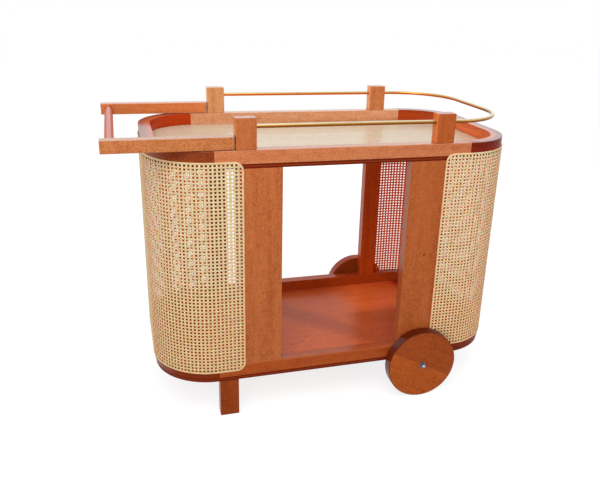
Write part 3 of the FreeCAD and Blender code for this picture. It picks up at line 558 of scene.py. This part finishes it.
def border(side):
    """The plain strip round a panel's edges, with rounded corners."""
    points, faces, facts, sections = [], [], [], []
    tall = panel_high - panel_low
    inset, turn_radius = border_width / 2, corner_round - border_width / 2
    turn_steps, side_steps = 8, 150
    path = []
    centres = (
        (corner_round, corner_round, math.pi),
        (whole_run - corner_round, corner_round, 1.5 * math.pi),
        (whole_run - corner_round, tall - corner_round, 0.0),
        (corner_round, tall - corner_round, 0.5 * math.pi),
    )
    for k, (run, height, start) in enumerate(centres):
        for step in range(turn_steps + 1):
            angle = start + step / turn_steps * math.pi / 2
            out_run, out_height = turn_radius * math.cos(angle), turn_radius * math.sin(angle)
            path.append((run + out_run, height + out_height, angle))
        if k % 2 == 0:
            level, ahead = (inset, 1) if k == 0 else (tall - inset, -1)
            span = ahead * (whole_run - 2 * corner_round)
            angle = start + math.pi / 2
            for step in range(1, side_steps):
                path.append((run + span * step / side_steps, level, angle))
    half, deep = border_width / 2, border_thickness / 2
    eased, shoulder = 0.7 * half, 0.3 * deep
    outline = [(-half, -deep, 1), (half, -deep, 1), (half, shoulder, 0), (eased, deep, 0)]
    outline += [(-eased, deep, 0), (-half, shoulder, 0)]
    for run, height, angle in path:
        ring = []
        for outwards, out, inner in outline:
            at = (run + outwards * math.cos(angle), height + outwards * math.sin(angle))
            ring.append((on_panel(side, at[0], out, panel_low + at[1]), weave_facts(*at, inner)))
        sections.append(ring[::-1])
    sweep(points, faces, facts, sections, closed=True)
    return points, faces, facts


# Light that passes through a strand comes out red.
TRANSLUCENT = {
    "Specular_IOR_Level": 0.2,
    "Subsurface_Weight": 0.4,
    "Subsurface_Radius": (0.0030, 0.0008, 0.0003),
    "Subsurface_Scale": 1.0,
}
PALE_CANE, TAN_CANE = (0.80, 0.72, 0.45), (0.74, 0.60, 0.33)
PINK_CANE, ROSE_CANE = (0.84, 0.61, 0.37), (0.76, 0.51, 0.28)
CANE_STREAK = (0.40, 0.22, 0.09)
LOW_TINT, LEFT_PANEL_SHADE = (1.03, 0.93, 0.84), (0.89, 0.91, 0.87)
SHADED_CUT_EDGES = (0.90, 0.13, 0.02), (0.66, 0.03, 0.004)
GLOW_AND_SHADE_LININGS = (1.0, 0.18, 0.026), (0.55, 0.012, 0.003)
BORDER_PINK = 0.926


def cane_finish(name, upright=None):
    """Natural cane: pale on its free stretches, pinker where strands cross. The cut edges are
    red as painted shade, darker on the left panel, and the inner face is red as a painted glow
    of light through the cane, darkened low down as painted shade. The left panel is a little
    darker all over from painted shade. The border, which is neither upright nor woven, is pink
    all over and has no cut edges."""
    finish = Finish(name, **TRANSLUCENT)
    weave = finish.node("Attribute", {"attribute_name": "weave"}, output="Vector")
    column, row, inner = finish.split(weave)
    if upright is None:
        wander = finish.noise(finish.vector(column * 0.5, row * 0.5, 7.0), 3)
        cane_streak_and_deck_shade = finish.noise(finish.vector(column * 3.0, row * 3.0, 9.0), 2)
        pinkness = BORDER_PINK
    else:
        own, other = (column, row) if upright else (row, column)
        strand = finish.math("ROUND", own)
        seed = 3.0 + 9.0 * upright
        wander = finish.noise(finish.vector(strand * 7.3, other * 0.35, seed), 2)
        cane_streak_and_deck_shade = finish.noise(finish.vector(own * 16, other * 0.9, 5.0), 2, 0.6)
        crossed = finish.math("COSINE", other * (2 * math.pi)) * 0.5 + 0.5
        pinkness = crossed.between(0.25, 0.85)
    pale = finish.mix(wander.between(0.3, 0.7), PALE_CANE, TAN_CANE)
    pink = finish.mix(wander.between(0.3, 0.7), PINK_CANE, ROSE_CANE)
    colour = finish.mix(pinkness, pale, pink)
    colour = finish.mix(cane_streak_and_deck_shade.between(0.45, 0.75) * 0.35, colour, CANE_STREAK)
    colour = finish.mix(row.between(34, 8), colour, LOW_TINT, "MULTIPLY")
    x = finish.place()[0]
    left = x.between(0.1, -0.1)
    # Painted shade: the left panel is a little darker all over.
    colour = finish.mix(left, colour, LEFT_PANEL_SHADE, "MULTIPLY")
    if upright is not None:
        # Painted shade on the cut edges, darker on the left panel.
        free = 1 - crossed.between(0.2, 0.6)
        shaded_cut_edge = finish.mix(left, *SHADED_CUT_EDGES)
        colour = finish.mix(inner.between(0.1, 0.5) * free, colour, shaded_cut_edge)
    # Painted glow of light on the inner face, with painted shade low down.
    low_painted_shade = row.between(30, 14) * left.most(x.between(0.47, 0.50))
    glow_and_shade_lining = finish.mix(low_painted_shade, *GLOW_AND_SHADE_LININGS)
    finish.surface(
        Base_Color=finish.mix(inner.between(0.5, 0.8), colour, glow_and_shade_lining),
        Roughness=0.45 + cane_streak_and_deck_shade * 0.2,
        Normal=finish.bump(cane_streak_and_deck_shade, 0.0001),
    )
    return finish


upright_cane = cane_finish("upright_cane", upright=True)
woven_cane = cane_finish("woven_cane", upright=False)
border_cane = cane_finish("border_cane")
for side, sign in (("left", -1), ("right", 1)):
    panel_piece(f"{side}_cane_uprights", side, *strands(sign, True), upright_cane)
    panel_piece(f"{side}_cane_weavers", side, *strands(sign, False), woven_cane)
    panel_piece(f"{side}_cane_border", side, *border(sign), border_cane)

# ---- rail blocks ---------------------------------------------------------------------------
# Four short posts of the same timber, dowelled on to the upper rim to carry the brass rail,
# grain upright, all edges eased. Their left faces are painted paler as painted light, and dark
# with painted shade in the narrow gap beside the handle's arms. The back blocks' paler stain
# is painted light.

ARM_TOP = 0.751
beside_arm = ("Z", ARM_TOP + 0.002, ARM_TOP)
# Painted light on the left faces and painted shade in the gap beside the arms.
LIT_SIDE_TINT, GAP_SHADE = (1.70, 1.80, 1.30), (0.10, 0.05, 0.03)
free_block = [("X", -1, whole_face, LIT_SIDE_TINT)]
arm_block = [*free_block, ("X", -1, beside_arm, GAP_SHADE)]
block_finishes = (
    ("front_left_block", stain(0.440, 0.120, 0.035), 1.0, arm_block),
    ("front_right_block", stain(0.400, 0.084, 0.016), 1.8, free_block),
    # Painted light: the back blocks' stains are paler than the front ones'.
    ("back_left_block", stain(0.597, 0.255, 0.103), 0.8, arm_block),
    ("back_right_block", stain(0.560, 0.190, 0.065), 1.0, free_block),
)
for number, (node, tones, figure, tints) in enumerate(block_finishes):
    plank(node, "Z", 90.4 + 3.9 * number, tones, figure, tints=tints)

# ---- brass rail ----------------------------------------------------------------------------
# One bent rod of polished brass with fine marks of the polishing wheel and slight tarnish,
# let into the four blocks. Reflections are painted on it: the underside is painted brown as a
# reflection of dark surroundings and orange where the back run faces the front as a
# reflection of the wood, and the top is painted pale as a reflection of the bright surround.

BRASS_DARK_REFLECTION, BRASS_WOOD_REFLECTION = (0.26, 0.085, 0.008), (0.80, 0.165, 0.006)
BRASS_SIDE, BRASS_BRIGHT_REFLECTION = (0.54, 0.32, 0.10), (0.84, 0.78, 0.57)
TARNISH = (0.36, 0.19, 0.06)

finish = Finish("rail_brass", Metallic=1.0)
x, y, z = finish.place()
marks = finish.noise(finish.vector(x * 30, y * 30, z * 900), 2)
tarnish = finish.noise(finish.vector(x * 9, y * 9, z * 40), 3, 0.6)
upwards = finish.facing("Z")
# Painted reflections: brown and orange below, pale on top.
wood_reflection_share = y.between(-0.22, 0.05) * finish.facing("Y").between(0.2, -0.2)
dark_and_wood_reflection = finish.mix(wood_reflection_share, BRASS_DARK_REFLECTION, BRASS_WOOD_REFLECTION)
colour = finish.mix(upwards.between(0.00, 0.45), dark_and_wood_reflection, BRASS_SIDE)
colour = finish.mix(upwards.between(0.45, 0.95), colour, BRASS_BRIGHT_REFLECTION)
finish.surface(
    Base_Color=finish.mix(tarnish.between(0.5, 0.8) * 0.3, colour, TARNISH),
    Roughness=0.24 + tarnish * 0.1,
    Normal=finish.bump(marks, 0.00001),
)
finish.dress("gallery_rail")

# ---- push handle ---------------------------------------------------------------------------
# Two square arms of the same timber, dowelled into the left blocks with a narrow gap, and a
# round grip let in between them.

# Painted shade on the arms' ends in the narrow gap.
arm_end = [("X", 1, whole_face, GAP_SHADE)]
plank("front_handle_arm", "X", 110.9, stain(0.465, 0.150, 0.046), tints=arm_end)
plank("back_handle_arm", "X", 118.6, stain(0.597, 0.168, 0.050), tints=arm_end)

finish = Finish("handle_grip_wood", **LACQUER)
x, y, z = finish.place()
finish.surface(
    Base_Color=timber(finish, y, x, z, 131.0, stain(0.55, 0.088, 0.030)),
    Coat_Weight=0.04 + finish.facing("Z").between(0.80, 1.0) * 0.6,
)
finish.dress("handle_grip")

# ---- legs ----------------------------------------------------------------------------------
# Two short legs of dark stained timber under the left end, rounded at the foot and dowelled
# up through the lower deck.

LEG_STAIN = stain(0.255, 0.042, 0.005)

for number, node in enumerate(("front_leg", "back_leg")):
    plank(node, "Z", 140.6 + 8.1 * number, LEG_STAIN, figure=1.6)

# ---- wheels --------------------------------------------------------------------------------
# Solid discs sawn from two boards glued edge to edge; the glue line runs through the hub. A
# nylon bush in each turns on the steel axle. The front one's tread is darker than its face
# from painted shade, and the back one's tread is lighter from painted light.

hub_x, hub_z, wheel_radius = 0.27795, 0.100, 0.100
board_turn = math.radians(-28)
WHEEL_STAIN = stain(0.40, 0.080, 0.012)
UPPER_BOARD_TINT = (0.62, 0.50, 0.50)
wheel_tread_light_and_shade = (("front_wheel", (0.34, 0.19, 0.11)), ("back_wheel", (1.3, 1.0, 1.1)))

for number, (node, tread_light_and_shade) in enumerate(wheel_tread_light_and_shade):
    finish = Finish(node + "_wood", **LACQUER)
    x, y, z = finish.place()
    out_x, out_z = x - hub_x, z - hub_z
    along = out_x * math.cos(board_turn) + out_z * math.sin(board_turn)
    across = out_z * math.cos(board_turn) - out_x * math.sin(board_turn)
    upper_board = across.between(-0.0002, 0.0002)
    seed = upper_board * 3.3 + (160.0 + 9.0 * number)
    depth = wheel_radius - finish.math("SQRT", out_x * out_x + out_z * out_z)
    low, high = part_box(node)
    rim = depth.most((y - low.y).least(high.y - y)).between(0.0035, 0)
    colour = timber(finish, along, across, y, seed, WHEEL_STAIN, rim)
    colour = finish.mix(upper_board * 0.55, colour, UPPER_BOARD_TINT, "MULTIPLY")
    # Painted shade on the front tread and painted light on the back tread.
    colour = finish.mix(depth.between(0.0030, 0.0010), colour, tread_light_and_shade, "MULTIPLY")
    glue_line = abs(across).between(0.0009, 0.0003)
    finish.surface(
        Base_Color=finish.mix(glue_line * 0.7, colour, WHEEL_STAIN[0]),
        Coat_Weight=finish.gloss(0.20),
    )
    finish.dress(node)

finish = Finish("bush_nylon")
x, y, z = finish.place()
cloud = finish.noise(finish.vector(x * 300, y * 300, z * 300), 3)
finish.surface(
    Base_Color=finish.mix(cloud, (0.66, 0.64, 0.57), (0.78, 0.76, 0.70)),
    Roughness=0.4 + cloud * 0.2,
)
finish.dress("front_bush", "back_bush")

# ---- axle, its beam and the hub hardware ---------------------------------------------------
# The axle lies in a groove of a beam under the lower deck. Spacers, washers and dome nuts of
# bright zinc-plated steel keep the wheels on it, and the screws are of the same steel.

plank("axle_beam", "Y", 180.0, LEG_STAIN)

finish = Finish("plated_steel", Metallic=1.0)
x, y, z = finish.place()
spangle = finish.noise(finish.vector(x * 260, y * 260, z * 260), 3)
finish.surface(
    Base_Color=finish.mix(spangle, (0.20, 0.22, 0.27), (0.34, 0.37, 0.43)),
    Roughness=0.22 + spangle * 0.2,
    Normal=finish.bump(spangle, 0.00003),
)
hub_parts = ("spacer", "washer", "dome_nut")
finish.dress("axle", *(f"{side}_{part}" for side in ("front", "back") for part in hub_parts))
finish.dress("upper_deck_screws", "lower_deck_screws", "beam_screws")

# ---- dowels --------------------------------------------------------------------------------
# Raw beech, out of sight in their glued holes. The upright ones join posts, blocks and legs
# to the trays; the level ones join the rims at their seams and the arms to the blocks.

RAW_BEECH = (0.52, 0.33, 0.18), (0.62, 0.42, 0.25), (0.70, 0.51, 0.33)
upright_dowels = ["upper_post_dowels", "lower_post_dowels", "block_dowels", "leg_dowels"]
level_dowels = ["upper_seam_dowels", "lower_seam_dowels", "arm_dowels"]
for name, nodes in (("upright", upright_dowels), ("level", level_dowels)):
    finish = Finish(name + "_dowel_beech")
    x, y, z = finish.place()
    grain = (z, x, y) if name == "upright" else (x, y, z)
    colour = timber(finish, *grain, 200.0, RAW_BEECH)
    finish.surface(Base_Color=colour, Coat_Weight=finish.gloss(1.0))
    finish.dress(*nodes)
